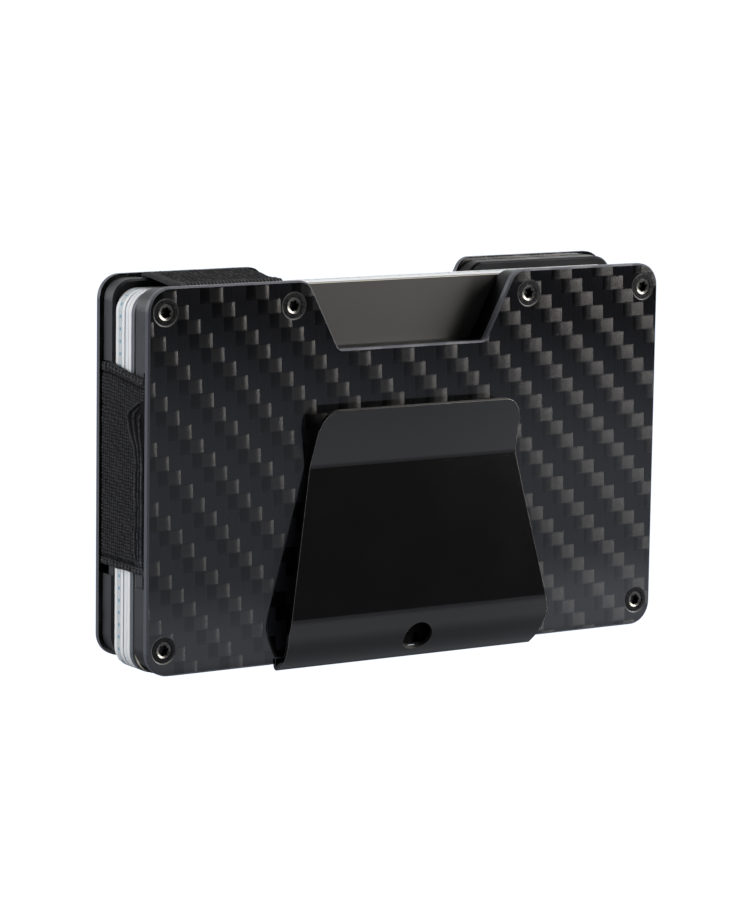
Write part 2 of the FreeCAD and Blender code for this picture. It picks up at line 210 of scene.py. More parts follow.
def clip_pattern(points, lengths):
    """Outline of the flat strip as (x, s), and the place of its hole along s."""
    front = lengths > lengths[np.argmin(points[:, 1])]
    bend = points[:, 0] < CLIP_TAB_Y
    rises, halves = zip(*CLIP_SIDES)
    corner_s = lengths[-1] - CLIP_CORNER_R
    corner_x = halves[-1] - CLIP_CORNER_R
    feet_to = float(np.interp(-CLIP_FEET_TO, -points[bend, 0], lengths[bend]))
    sides = [(halves[0], 0.0)]
    for s in np.linspace(lengths[front][0], corner_s, CLIP_STATIONS):
        z = along(s, lengths, points)[1]
        sides.append((float(np.interp(z, rises, halves)), float(s)))
    for k in range(1, CLIP_CORNER_PARTS + 1):
        angle = math.radians(90 * k / CLIP_CORNER_PARTS)
        sides.append((corner_x + CLIP_CORNER_R * math.cos(angle),
                      corner_s + CLIP_CORNER_R * math.sin(angle)))
    mirrored = [(-x, s) for x, s in reversed(sides)]
    feet = [(-CLIP_FEET_IN, 0.0), (-CLIP_FEET_IN, feet_to),
            (CLIP_FEET_IN, feet_to), (CLIP_FEET_IN, 0.0)]
    hole_s = float(np.interp(CLIP_HOLE_Z, points[front][:, 1], lengths[front]))
    return sides + mirrored + feet, hole_s


def cut_strip(outline, hole, rows):
    """The flat strip, bevelled along its outline and hole, and cut across at each row."""
    bm = bmesh.new()
    edges = []
    for loop in (outline, hole):
        verts = [bm.verts.new((x, s, 0.0)) for x, s in loop]
        edges += [bm.edges.new((verts[i - 1], verts[i])) for i in range(len(verts))]
    filled = bmesh.ops.triangle_fill(bm, use_beauty=True, use_dissolve=False, edges=edges)
    faces = [f for f in filled["geom"] if isinstance(f, bmesh.types.BMFace)]
    grown = bmesh.ops.extrude_face_region(bm, geom=faces)
    lifted = [v for v in grown["geom"] if isinstance(v, bmesh.types.BMVert)]
    bmesh.ops.translate(bm, vec=(0, 0, -CLIP_T), verts=lifted)
    bmesh.ops.recalc_face_normals(bm, faces=bm.faces)
    rims = [e for e in bm.edges if len(e.link_faces) == 2 and e.calc_face_angle(0) > SHARP]
    rims = [e for e in rims if abs(e.verts[0].co.z - e.verts[1].co.z) < TINY]
    bmesh.ops.bevel(bm, geom=rims, offset=CLIP_EDGE, segments=2, profile=0.5, affect="EDGES",
                    clamp_overlap=True)
    for s in rows:
        bmesh.ops.bisect_plane(bm, geom=bm.verts[:] + bm.edges[:] + bm.faces[:],
                               plane_co=(0, s, 0), plane_no=(0, 1, 0), dist=1e-5)
    bm.normal_update()
    return bm


def strip_normals(bm):
    """A normal for each vertex: caps and walls shade flat, and the bevels between them round."""
    caps, walls, bevels = {}, {}, {}
    for face in bm.faces:
        up = abs(face.normal.z)
        kind = caps if up > CAP_UP else walls if up < WALL_UP else bevels
        for vert in face.verts:
            kind[vert.index] = kind.get(vert.index, Vector()) + face.normal
    chosen = {**bevels, **walls, **caps}
    return {index: normal.normalized() for index, normal in chosen.items()}


def make_clip():
    """The money clip: the flat strip, bent along its line."""
    points, normals, lengths = trace(CLIP_PATH, CLIP_RADII, CLIP_STEPS, arc_step=0.12)
    outline, hole_s = clip_pattern(points, lengths)
    bm = cut_strip(outline, ring(hole_s, CLIP_HOLE_R, CLIP_HOLE_PARTS), lengths[1:-1])
    flat = strip_normals(bm)
    mesh = bpy.data.meshes.new("money_clip")
    bm.to_mesh(mesh)
    bm.free()
    bent_normals = []
    bore = []
    for vert in mesh.vertices:
        x, s, t = vert.co
        bore.append(float(math.hypot(x, s - hole_s) < CLIP_HOLE_R + CLIP_EDGE / 4))
        py, pz = along(s, lengths, points)
        ny, nz = along(s, lengths, normals)
        size = math.hypot(ny, nz)
        ny, nz = ny / size, nz / size
        n = flat[vert.index]
        bent_normals.append(Vector((n.x, n.y * nz + n.z * ny, -n.y * ny + n.z * nz)))
        vert.co = at(x, py + ny * t, pz + nz * t)
    mesh.attributes.new(BORE, "FLOAT", "POINT").data.foreach_set("value", bore)
    mesh.update()
    obj = add_object("money_clip", mesh)
    agree = sum(p.normal.dot(bent_normals[p.vertices[0]]) * p.area for p in mesh.polygons)
    if agree < 0:
        mesh.flip_normals()
    mesh.shade_smooth()
    mesh.normals_split_custom_set_from_vertices([tuple(n) for n in bent_normals])
    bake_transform(obj)
    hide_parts("clip_tab", "clip_leaf")
    return obj


# ---- the elastic bands


# Point attribute of a band: 0 in its grooves, 1 on its crests, 0.5 inside; the material turns it into
# painted shade in the grooves and painted light on the crests
CREST_SHADE = "crest_shade"
INSIDE_CREST = 0.5
# Height of the grooves against the band's plain face, and from there to the crests
RELIEF_FLOOR = -0.18
RELIEF_SPAN = 0.32
SMOOTH_TO = math.radians(60)


def band(name, traced, lift, across, outward, relief, spread=None, closed=False):
    """Closed mesh of a band, traced along it, with across as the places over its width.

    lift turns a traced point and a place across into x, y, z. relief gives the height that stands
    out of the outer face, and spread how far the knit shifts sideways.
    """
    points, normals, _ = traced
    w = across[None, :]
    edge = np.clip(np.minimum(w - across[0], across[-1] - w) / ROLL_WIDTH, 0, 1)
    roll = ELASTIC_T / 2 * (1 - np.sqrt(np.clip(1 - (1 - edge) ** 2, 0, 1)))
    stand = relief(w, points)
    high = ELASTIC_T / 2 - roll * ROLL_SHARE + stand
    low = -ELASTIC_T / 2 + roll * ROLL_SHARE + 0 * stand
    wide = w + (spread(w, points) if spread else 0 * stand)
    rows, columns = high.shape
    verts = np.zeros((2, rows, columns, 3))
    for side, offset in enumerate((high, low)):
        a, b = (points[:, k, None] + outward * normals[:, k, None] * offset for k in (0, 1))
        x, y, z = lift(a, b, wide)
        verts[side, :, :, 0] = x * MM
        verts[side, :, :, 1] = y * MM + ORIGIN_Y
        verts[side, :, :, 2] = z * MM + ORIGIN_Z
    obj = add_mesh(name, verts.reshape(-1, 3), band_faces(rows, columns, closed))
    # the relief is kept as a point attribute that the material paints as light on crests and shade in
    # grooves
    crest_shade = np.clip((stand - RELIEF_FLOOR) / RELIEF_SPAN, 0, 1)
    crest_shade = np.stack([crest_shade, np.full_like(crest_shade, INSIDE_CREST)]).astype(np.float32)
    obj.data.attributes.new(CREST_SHADE, "FLOAT", "POINT").data.foreach_set("value", crest_shade.ravel())
    bm = bmesh.new()
    bm.from_mesh(obj.data)
    bmesh.ops.recalc_face_normals(bm, faces=bm.faces)
    bm.to_mesh(obj.data)
    bm.free()
    obj.data.shade_smooth()
    obj.data.set_sharp_from_angle(angle=SMOOTH_TO)
    return obj


def band_faces(rows, columns, closed):
    """Quads of a band's outer and inner face, its two long edges and, if it is open, its ends."""
    index = np.arange(2 * rows * columns).reshape(2, rows, columns)
    here = np.arange(rows if closed else rows - 1)
    after = (here + 1) % rows
    left, right = np.arange(columns - 1), np.arange(1, columns)
    faces = []

    def add(corners, flip):
        quads = np.stack(corners, axis=-1).reshape(-1, 4)
        faces.append(quads[:, ::-1] if flip else quads)

    for grid, flip in ((index[0], False), (index[1], True)):
        add([grid[np.ix_(here, left)], grid[np.ix_(here, right)],
             grid[np.ix_(after, right)], grid[np.ix_(after, left)]], flip)
    for column, flip in ((0, True), (columns - 1, False)):
        outer, inner = index[:, :, column]
        add([outer[here], inner[here], inner[after], outer[after]], flip)
    if not closed:
        for row, flip in ((0, False), (rows - 1, True)):
            outer, inner = index[:, row]
            add([outer[left], inner[left], inner[right], outer[right]], flip)
    return np.concatenate(faces)


def across_band(ends):
    """Places over a band's width, from one edge to the other."""
    return np.linspace(*ends, int((ends[1] - ends[0]) / FINE) + 1)


def ridge(values, pitch, sharp=0.6):
    """Row of rounded ribs, from 0 in the grooves to 1 on the crests."""
    return np.abs(np.cos(np.pi * values / pitch)) ** sharp


def gauss(values, width):
    """A bell of height 1 round 0."""
    return np.exp(-((values / width) ** 2))


def ramp(values, low, width):
    """0 up to low, 1 from low + width on, and straight between them."""
    return np.clip((values - low) / width, 0, 1)


def speckle(a, b):
    """An even scatter from 0 to 1, one value for each pair of whole numbers."""
    return np.modf(np.abs(np.sin(a * 12.9898 + b * 78.233) * 43758.5453))[0]


# Pitch of the ribs and of the knots on them, how far the knots step from rib to rib, and where
# the band folds over the front plate and turns underneath
LOOP_RIB = 0.56
LOOP_KNOT = 1.3
LOOP_KNOT_STEP = 0.43
LOOP_FOLD_Y = 2.3
LOOP_UNDER_Z = 2.0
SELVAGE_W = 1.35
SELVAGE_PITCH = 0.72


def loop_relief(w, points):
    """Knotted ribs along the band, a smooth selvage, and teeth where it folds over the plate."""
    y = points[:, 0][:, None]
    rib = np.round(w / LOOP_RIB)
    knot = y + LOOP_KNOT_STEP * rib
    uneven = speckle(rib, np.round(knot / LOOP_KNOT))
    ribs = 0.2 * ridge(w, LOOP_RIB, 1.2) * (0.3 + 0.8 * uneven)
    ribs = ribs * (0.55 + 0.45 * ridge(knot, LOOP_KNOT, 0.9))
    ribs = ribs + 0.04 * np.sin(5.1 * w + 3.3 * y) * np.sin(4.7 * y - 2.9 * w)
    selvage = 0.1 + 0.08 * ridge(w - LOOP_X[0] - 0.35, SELVAGE_PITCH, 1.0)
    in_selvage = np.clip((LOOP_X[0] + SELVAGE_W - w) / 0.15, 0, 1)
    in_teeth = gauss(y - LOOP_FOLD_Y, 0.6) * (1 - in_selvage)
    ribs = ribs * (1 - in_selvage) + selvage * in_selvage
    # painted shade under the bottom edge: the band sinks there, which the crest attribute turns near
    # black
    shaded_underneath = np.clip((LOOP_UNDER_Z - points[:, 1][:, None]) / 0.5, 0, 1)
    ribs = ribs * (1 - shaded_underneath) - 0.1 * shaded_underneath
    teeth = 0.24 * ridge(w, LOOP_RIB, 1.3)
    return ribs * (1 - 0.8 * in_teeth) + teeth * in_teeth + RELIEF_FLOOR


def make_loop():
    """The band that runs round both shells, over the top edges and under the bottom ones."""
    far_y = TOTAL_T - LOOP_Y
    path = [
        (LOOP_Y, LOOP_LOW),
        (SHELL_IN[0] - 0.6, LOOP_SAG),
        (SHELL_IN[1] + 0.6, LOOP_SAG),
        (far_y, LOOP_LOW + BACK_RISE),
        (far_y, LOOP_TOP + BACK_RISE),
        (SHELL_IN[1] - 0.3, LOOP_TOP + BACK_RISE),
        (SHELL_IN[0] + 0.3, LOOP_TOP),
        (LOOP_Y, LOOP_TOP),
    ]
    radii = [0.45, 0.8, 0.8, 0.45, 0.5, 3.0, 3.0, 0.5]
    steps = [FINE, FINE, FINE, COARSE, FINE, FINE, FINE, COARSE]
    traced = trace(path, radii, steps, closed=True)
    obj = band("elastic_loop_band", traced, lambda a, b, w: (w, a, b), across_band(LOOP_X), -1.0,
               loop_relief, closed=True)
    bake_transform(obj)
    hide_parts("elastic_loop")
    return obj


# Height and width of a stitch, and the pitch of the loops of thread along the strap's edges
STITCH = 0.46
STITCH_COLUMN = 0.6
EDGE_LOOP = 0.95
# Share of the way to the outermost wrinkle, and height, of each wrinkle
FOLDS = ((1.0, 0.42), (0.66, 0.40), (0.34, 0.40))


def strap_relief(w, points):
    """Knit with a looped edge, and wrinkles that gather behind the front plate."""
    y = points[:, 1][:, None]
    depth = STRAP_Z[1] - w
    column = np.round(y / STITCH_COLUMN)
    stitch = w + 0.05 * np.sin(1.9 * column) + 0.06 * np.sin(1.3 * w)
    uneven = speckle(column, np.round(stitch / STITCH))
    knit = 0.18 * ridge(stitch, STITCH, 1.4) * ridge(y, STITCH_COLUMN, 1.0) * (0.7 + 0.5 * uneven)
    knit = knit + 0.03 * np.sin(3.3 * w + 2.1 * y) * np.sin(1.7 * w - 4.1 * y)
    # loops of thread along both edges, out of step with each other
    edge = np.minimum(depth, w - STRAP_Z[0])
    shifted = y + 0.3 * np.sign(depth - 14)
    loops = gauss(edge - 0.5, 0.4) * (0.26 * ridge(shifted, EDGE_LOOP, 0.9) - 0.1)
    loops = loops - 0.12 * gauss(edge - 1.3, 0.22)
    # wrinkles: arches that start at the top and run down behind the front plate
    behind = y - 1.1
    wander = 0.14 * np.sin(0.9 * depth) + 0.08 * np.sin(2.3 * depth + 1.0)
    arch = 2.5 + 2.3 * gauss(depth - 6.0, 3.0) + wander
    arch = arch * np.sqrt(ramp(depth, 3.0, 2.2))
    gathered = np.clip((arch + 0.35 - behind) / 0.3, 0, 1) * ramp(edge, 1.6, 1.2)
    folds = 0
    for share, height in FOLDS:
        starts = ramp(depth, 2.8 + 3.0 * (1 - share), 1.0)
        folds = folds + height * starts * gauss(behind - share * arch, 0.17)
    folds = folds * np.clip((w - STRAP_Z[0]) / 2.5, 0.15, 1)
    return knit * (1 - 0.8 * gathered) + loops + folds - 0.08 * gathered + RELIEF_FLOOR


def strap_spread(w, points):
    """The cut edges wander a little, with a loop at each stitch, and the top rises to the back."""
    y = points[:, 1][:, None]
    near_top = np.clip(1 - (STRAP_Z[1] - w) / 0.8, 0, 1)
    near_low = np.clip(1 - (w - STRAP_Z[0]) / 0.8, 0, 1)
    wave = 0.13 * ridge(y, 0.9, 0.7) + 0.05 * np.sin(0.8 * y) - 0.1
    rise = ramp(y, 4.0, 7.0) * 1.1 - 0.3 * np.clip((4.0 - y) / 2.0, 0, 1)
    return near_top * wave - near_low * wave + rise * ramp(w, 34.0, 8.0)


def make_strap():
    """The band round the closed end, from inside one shell to inside the other."""
    path = [
        (STRAP_END_X, STRAP_Y),
        (STRAP_X, STRAP_Y),
        (STRAP_X, TOTAL_T - STRAP_Y),
        (STRAP_END_X, TOTAL_T - STRAP_Y),
    ]
    traced = trace(path, [0, 0.45, 0.45, 0], [COARSE, FINE, COARSE], arc_step=0.08)
    obj = band("elastic_side_strap", traced, lambda a, b, w: (a, b, w), across_band(STRAP_Z), 1.0,
               strap_relief, strap_spread)
    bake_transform(obj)
    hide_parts("elastic_side")
    return obj


# ---------------------------------------------------------------- materials


class Look:
    """A node material, with short ways to make its nodes."""

    def __init__(self, name):
        self.material = bpy.data.materials.new(name)
        self.material.use_nodes = True
        self.tree = self.material.node_tree
        self.shader = self.tree.nodes["Principled BSDF"]

    def node(self, kind, **settings):
        made = self.tree.nodes.new("ShaderNode" + kind)
        for key, value in settings.items():
            setattr(made, key, value)
        return made

    def put(self, socket, value):
        """Link a socket, or set a number, vector or colour, to an input."""
        if isinstance(value, bpy.types.NodeSocket):
            self.tree.links.new(value, socket)
        elif hasattr(value, "__len__"):
            lacks_alpha = len(socket.default_value) == 4 and len(value) == 3
            socket.default_value = (*value, 1.0) if lacks_alpha else value
        else:
            socket.default_value = value

    def math(self, operation, *values):
        made = self.node("Math", operation=operation)
        for k, value in enumerate(values):
            self.put(made.inputs[k], value)
        return made.outputs[0]

    def total(self, first, *others):
        """The sum of them all."""
        for other in others:
            first = self.math("ADD", first, other)
        return first

    def span(self, value, low, high, to_low=0.0, to_high=1.0):
        """A smooth step from to_low to to_high, as value goes from low to high."""
        made = self.node("MapRange", interpolation_type="SMOOTHSTEP")
        for k, item in enumerate((value, low, high, to_low, to_high)):
            self.put(made.inputs[k], item)
        return made.outputs[0]

    def mix(self, share, a, b):
        """A colour between a and b."""
        made = self.node("Mix", data_type="RGBA")
        self.put(made.inputs[0], share)
        self.put(made.inputs[6], a)
        self.put(made.inputs[7], b)
        return made.outputs[2]

    def blend(self, share, a, b):
        """A number between a and b."""
        made = self.node("Mix", data_type="FLOAT")
        self.put(made.inputs[0], share)
        self.put(made.inputs[2], a)
        self.put(made.inputs[3], b)
        return made.outputs[0]

    def place(self):
        """Object coordinates in mm, as three sockets."""
        source = self.node("TexCoord")
        scaled = self.node("VectorMath", operation="SCALE")
        self.put(scaled.inputs[0], source.outputs["Object"])
        scaled.inputs["Scale"].default_value = 1.0 / MM
        split = self.node("SeparateXYZ")
        self.put(split.inputs[0], scaled.outputs[0])
        return tuple(split.outputs)

    def facing(self):
        """The surface's own direction at rest, as three sockets."""
        source = self.node("TexCoord")
        split = self.node("SeparateXYZ")
        self.put(split.inputs[0], source.outputs["Normal"])
        return tuple(split.outputs)

    def attribute(self, name):
        return self.node("Attribute", attribute_name=name).outputs["Fac"]

    def join(self, x, y, z):
        made = self.node("CombineXYZ")
        for k, value in enumerate((x, y, z)):
            self.put(made.inputs[k], value)
        return made.outputs[0]

    def noise(self, place, detail=2.0, rough=0.5, scale=1.0):
        """Noise over a place of three parts; scale is one number, or one for each part."""
        if hasattr(scale, "__len__"):
            place = [p if s is None else self.math("MULTIPLY", p, s) for p, s in zip(place, scale)]
            scale = 1.0
        made = self.node("TexNoise")
        self.put(made.inputs["Vector"], self.join(*place))
        made.inputs["Scale"].default_value = scale
        made.inputs["Detail"].default_value = detail
        made.inputs["Roughness"].default_value = rough
        return made.outputs[0]

    def distance(self, x, z, to_x, to_z):
        """How far x, z lies from a point of the drawing plane."""
        return self.math("SQRT", self.math(
            "ADD", self.math("POWER", self.math("SUBTRACT", x, to_x), 2.0),
            self.math("POWER", self.math("SUBTRACT", z, to_z), 2.0)))

    def to_screw(self, x, z, rise):
        """How far x, z lies from the axis of the nearest screw."""
        gaps = [self.distance(x, z, sx, sz + rise) for sx, sz in SCREWS]
        nearest = gaps[0]
        for gap in gaps[1:]:
            nearest = self.math("MINIMUM", nearest, gap)
        return nearest

    def bump(self, height, strength=1.0):
        """Let the shader's normal follow a height in mm."""
        made = self.node("Bump")
        made.inputs["Strength"].default_value = strength
        made.inputs["Distance"].default_value = 1.0
        self.put(made.inputs["Height"], self.math("MULTIPLY", height, MM))
        self.put(self.shader.inputs["Normal"], made.outputs[0])

    def shade(self, **values):
        for name, value in values.items():
            self.put(self.shader.inputs[name.replace("_", " ")], value)


# The weave: width of the upright tows (warp) and of those across (weft), how much each line of
# tows leans, and where the pattern starts, in tows
WARP_PITCH = 1.858
WEFT_PITCH = 2.09
WARP_LEAN = 0.075
WEFT_LEAN = 0.0128
WEAVE_START = (100.09, 101.016)
TWILL = 4.0
WEFT_BOW = 0.066
WEFT_CROWN = 0.012
WARP_BOW = 0.03
WARP_CROWN = 0.008
# A face of the plate that points to the front less than this is a machined edge
CUT_FACING = 0.92
SINK_R = (2.3, 2.1)  # radii over which a countersink's rim begins
# Middle of the patch behind the clip's hole, and the radii between which its painted shadow and its
# dull, uncoated finish end
CLIP_SHADE_PATCH = (2.4, 2.8)
CLIP_SHADE_PATCH_R = (3.6, 4.8)


def carbon_look(name, facing_y, plate_low_z):
    """Lacquered 2x2 twill: tows that pass over two and under two, with fine fibres along each."""
    look = Look(name)
    m = look.math
    x, y, z = look.place()
    nx, ny, _ = look.facing()
    # column and row of the tows that cross here, and the place within the crossing
    lateral = x if facing_y < 0 else m("MULTIPLY", x, -1.0)
    down = look.total(m("SUBTRACT", PLATE_TOP + plate_low_z, z), m("MULTIPLY", lateral, WEFT_LEAN))
    rows = m("DIVIDE", down, WEFT_PITCH)
    columns = m("DIVIDE", m("SUBTRACT", lateral, m("MULTIPLY", rows, WARP_LEAN)), WARP_PITCH)
    u, v = m("ADD", columns, WEAVE_START[0]), m("ADD", rows, WEAVE_START[1])
    column, row = m("FLOOR", u), m("FLOOR", v)
    fu, fv = m("FRACT", u), m("FRACT", v)
    step = m("FLOORED_MODULO", m("SUBTRACT", column, row), TWILL)
    weft = m("LESS_THAN", step, 1.5)
    # run goes from 0 to 1 along a weft float, fall along a warp float
    run = m("MULTIPLY", m("ADD", step, fu), 0.5)
    fall = m("MULTIPLY", m("ADD", m("SUBTRACT", 3.0, step), fv), 0.5)
    # heights: each float is a low hump along its run and across its width
    from_middle = m("ABSOLUTE", m("SUBTRACT", m("MULTIPLY", run, 2.0), 1.0))
    bow = m("SUBTRACT", 1.0, m("POWER", from_middle, 5.0))
    weft_h = look.total(m("MULTIPLY", bow, WEFT_BOW),
                        m("MULTIPLY", m("SINE", m("MULTIPLY", fv, math.pi)), WEFT_CROWN))
    warp_h = look.total(m("MULTIPLY", m("SINE", m("MULTIPLY", fall, math.pi)), WARP_BOW),
                        m("MULTIPLY", m("SINE", m("MULTIPLY", fu, math.pi)), WARP_CROWN))
    lines_x = look.noise((lateral, 0.0, z), 3.0, 0.6, (0.25, None, 7.0))
    lines_z = look.noise((lateral, 0.0, z), 3.0, 0.6, (7.0, None, 0.25))
    fibres = look.blend(weft, lines_z, lines_x)
    height = look.total(look.blend(weft, warp_h, weft_h), m("MULTIPLY", fibres, 0.006))
    # the weave's own pattern with painted highlight: the weft is painted dark where it dives under
    # and light over its second half, with a bright rim, the glint its fibres catch where the float
    # curves
    weft_glint_tone = look.total(look.span(run, 0.4, 0.44, 0.0, 0.82), look.span(run, 0.6, 0.98, 0.0, 0.15))
    glint_rim = m("MAXIMUM", look.span(run, 0.93, 0.97), look.span(fv, 0.8, 0.86, 0.0, 0.4))
    tone = look.blend(weft, 0.0, look.total(weft_glint_tone, m("MULTIPLY", glint_rim, 0.5)))
    seam = look.span(m("MINIMUM", fv, m("SUBTRACT", 1.0, fv)), 0.0, 0.12, 0.15, 1.0)
    tone = m("MULTIPLY", m("MULTIPLY", tone, seam), look.total(0.6, m("MULTIPLY", fibres, 0.8)))
    tow_tone = look.noise((column, row, 3.7), 0.0, 0.5, 0.37)
    strands = look.total(m("MULTIPLY", tow_tone, 0.6),
                         m("MULTIPLY", look.span(lines_z, 0.3, 0.7), 0.4))
    upright = look.mix(strands, (0.013, 0.0134, 0.016), (0.026, 0.0265, 0.032))
    across = look.mix(tone, (0.003, 0.003, 0.0035), (0.031, 0.0298, 0.0290))
    cloth = look.mix(weft, upright, across)
    # machined edges and countersinks show bare laminate
    cut = m("LESS_THAN", m("ABSOLUTE", ny), CUT_FACING)
    whole = m("SUBTRACT", 1.0, cut)
    grain = look.noise((x, y, z), 3.0, 0.6, (2.0, 9.0, 2.0))
    bare = look.mix(grain, (0.072, 0.075, 0.09), (0.125, 0.13, 0.152))
    # cut edges that face right are painted darker: painted shade
    bare = look.mix(look.span(nx, 0.25, 0.4), bare, (0.022, 0.023, 0.027))
    sunk = look.span(look.to_screw(x, z, plate_low_z), *SINK_R)
    bare = look.mix(sunk, bare, (0.12, 0.12, 0.117))
    # behind the clip's hole the cloth is dull, without coat, and painted dark, a painted shadow, so
    # that the hole reads black
    clear_of_painted_shadow = 1.0
    if facing_y < 0:
        off = look.distance(x, z, CLIP_SHADE_PATCH[0], CLIP_SHADE_PATCH[1] + plate_low_z)
        clear_of_painted_shadow = look.span(off, *CLIP_SHADE_PATCH_R)
        cloth = look.mix(clear_of_painted_shadow, (0.002, 0.002, 0.002), cloth)
    # the tangent runs across the fibres: z on the weft, x on the warp, y on cut edges
    tangent = look.join(m("SUBTRACT", m("SUBTRACT", 1.0, weft), cut), cut, m("MULTIPLY", weft, whole))
    look.shade(Base_Color=look.mix(cut, cloth, bare),
               Roughness=look.blend(cut, look.blend(weft, 0.34, 0.2), 0.42),
               Metallic=look.blend(cut, 0.85, 0.0), Anisotropic=1.0, Tangent=tangent,
               Coat_Weight=look.blend(cut, clear_of_painted_shadow, 0.15), Coat_Roughness=0.05, Coat_IOR=1.75)
    look.bump(m("MULTIPLY", height, whole))
    return look.material


# Within this half width the frames are painted near black: painted shade in the notch
NOTCH_HALF = 19.0  # half the width of the frames' thumb notch and its slanted walls


def frame_look(name):
    """Dark anodised aluminium with a fine brushed grain, with painted shade on its faces and in its
    notch.
    """
    look = Look(name)
    m = look.math
    place = look.place()
    brushed = look.noise(place, 4.0, 0.65, (0.4, 14.0, 0.4))
    cloudy = look.noise(place, 3.0, 0.5, 0.25)
    colour = look.mix(brushed, (0.039, 0.041, 0.044), (0.066, 0.068, 0.073))
    # painted shade: faces that point to the front or back, between plates and cards, and the notch
    # are painted near black
    inside = m("MAXIMUM", look.span(m("ABSOLUTE", look.facing()[1]), 0.85, 0.95),
               m("LESS_THAN", m("ABSOLUTE", place[0]), NOTCH_HALF))
    colour = look.mix(inside, colour, (0.008, 0.008, 0.009))
    roughness = look.span(cloudy, 0.3, 0.7, 0.36, 0.46)
    look.shade(Base_Color=colour, Roughness=roughness, Metallic=0.85, Specular_IOR_Level=0.5)
    look.bump(m("MULTIPLY", brushed, 0.004))
    return look.material


# Radii of a screw's head: the worn ring round its socket, and the dish from socket to bead
WEAR_FROM = (0.7, 0.85)
WEAR_TO = (1.2, 1.1)
DISH = (0.75, 1.16)
DISH_DEPTH = 0.11


def screw_look(name, rise):
    """Black-oxide steel, worn bright round the socket and on the head's bead."""
    look = Look(name)
    m = look.math
    x, y, z = look.place()
    off = look.to_screw(x, z, rise)
    patch = look.noise((x, y, z), 4.0, 0.6, 2.4)
    wear = m("MULTIPLY", look.span(off, *WEAR_FROM), look.span(off, *WEAR_TO))
    wear = m("MULTIPLY", wear, look.span(patch, 0.3, 0.6, 0.5, 1.0))
    colour = look.mix(wear, (0.02, 0.02, 0.021), (0.17, 0.165, 0.15))
    look.shade(Base_Color=colour, Roughness=look.span(patch, 0.3, 0.7, 0.22, 0.38), Metallic=0.9)
    dish = m("MULTIPLY", look.span(off, *DISH), DISH_DEPTH)
    look.bump(look.total(dish, m("MULTIPLY", patch, 0.006)))
    return look.material


def clip_look(name):
    """Glossy black coating over spring steel; its inner side and hole wall are dull and painted
    darker, painted shade; its edges are painted light, partly worn coating and partly painted
    highlight.
    """
    look = Look(name)
    m = look.math
    place = look.place()
    grain = look.noise(place, 3.0, 0.6, (9.0, 0.6, 0.25))
    marks = look.noise(place, 5.0, 0.6, 0.11)
    rolled = look.noise(place, 3.0, 0.6, (0.25, 4.5, 4.5))
    nx, ny, nz = look.facing()
    bore = look.attribute(BORE)
    # painted shade: faces towards the plate, faces pointing up inside the bend, and the hole's wall
    # are painted darker and made dull
    inner = m("MAXIMUM", m("MAXIMUM", look.span(ny, 0.0, 0.3), look.span(nz, 0.6, 0.85)), bore)
    # edges painted light along the bevels: partly coating worn off, partly painted highlight
    worn = m("MULTIPLY", look.span(m("ABSOLUTE", nx), 0.2, 0.4),
             look.span(m("ABSOLUTE", ny), 0.3, 0.55))
    worn = m("MULTIPLY", worn, m("SUBTRACT", 1.0, bore))
    colour = look.mix(marks, (0.003, 0.003, 0.0035), (0.0045, 0.0045, 0.0052))
    colour = look.mix(inner, colour, (0.001, 0.001, 0.001))
    colour = look.mix(worn, colour, (0.62, 0.59, 0.53))
    roughness = look.total(look.span(marks, 0.35, 0.7, 0.05, 0.06), m("MULTIPLY", grain, 0.02))
    roughness = look.blend(inner, roughness, 0.6)
    look.shade(Base_Color=colour, Roughness=roughness, IOR=1.73, Specular_Tint=(1.0, 0.97, 0.92))
    look.bump(look.total(m("MULTIPLY", grain, 0.0006), m("MULTIPLY", rolled, 0.003)))
    return look.material


def elastic_look(name):
    """Black knitted elastic: matt yarn, painted light on the crests and painted shade in the grooves.
    """
    look = Look(name)
    m = look.math
    place = look.place()
    yarn = look.noise(place, 3.0, 0.6, 3.2)
    fuzz = look.noise(place, 2.0, 0.6, 9.0)
    slow = look.noise(place, 2.0, 0.5, 0.4)
    share = look.total(0.55, m("MULTIPLY", look.span(yarn, 0.35, 0.7), 0.35))
    # painted light and shade: the colour follows the crest attribute, light on crests, near black in
    # grooves
    tone = look.total(m("MULTIPLY", look.attribute(CREST_SHADE), share), m("MULTIPLY", slow, 0.12))
    look.shade(Base_Color=look.mix(tone, (0.002, 0.002, 0.0024), (0.14, 0.14, 0.148)),
               Roughness=look.span(fuzz, 0.3, 0.7, 0.75, 0.95), Specular_IOR_Level=0.04)
    look.bump(look.total(m("MULTIPLY", yarn, 0.05), m("MULTIPLY", fuzz, 0.03)), 0.8)
    return look.material


def thread_look(name):
    """Black sewing thread with a fine twist."""
    look = Look(name)
    m = look.math
    place = look.place()
    twist = m("SINE", m("MULTIPLY", look.total(*place), 16.0))
    fuzz = look.noise(place, 3.0, 0.6, 5.0)
    look.shade(Base_Color=look.mix(fuzz, (0.008, 0.008, 0.009), (0.03, 0.03, 0.033)),
               Roughness=look.span(fuzz, 0.2, 0.8, 0.6, 0.85))
    look.bump(m("MULTIPLY", twist, 0.02))
    return look.material


# A card's face points to the front or back more than this
CARD_FLAT = 0.7
# Row of dots along a dotted card's edge
DOT_PITCH = 1.75
DOT_SHARE = 0.26
DOT_COLOUR = (0.20, 0.38, 0.50)


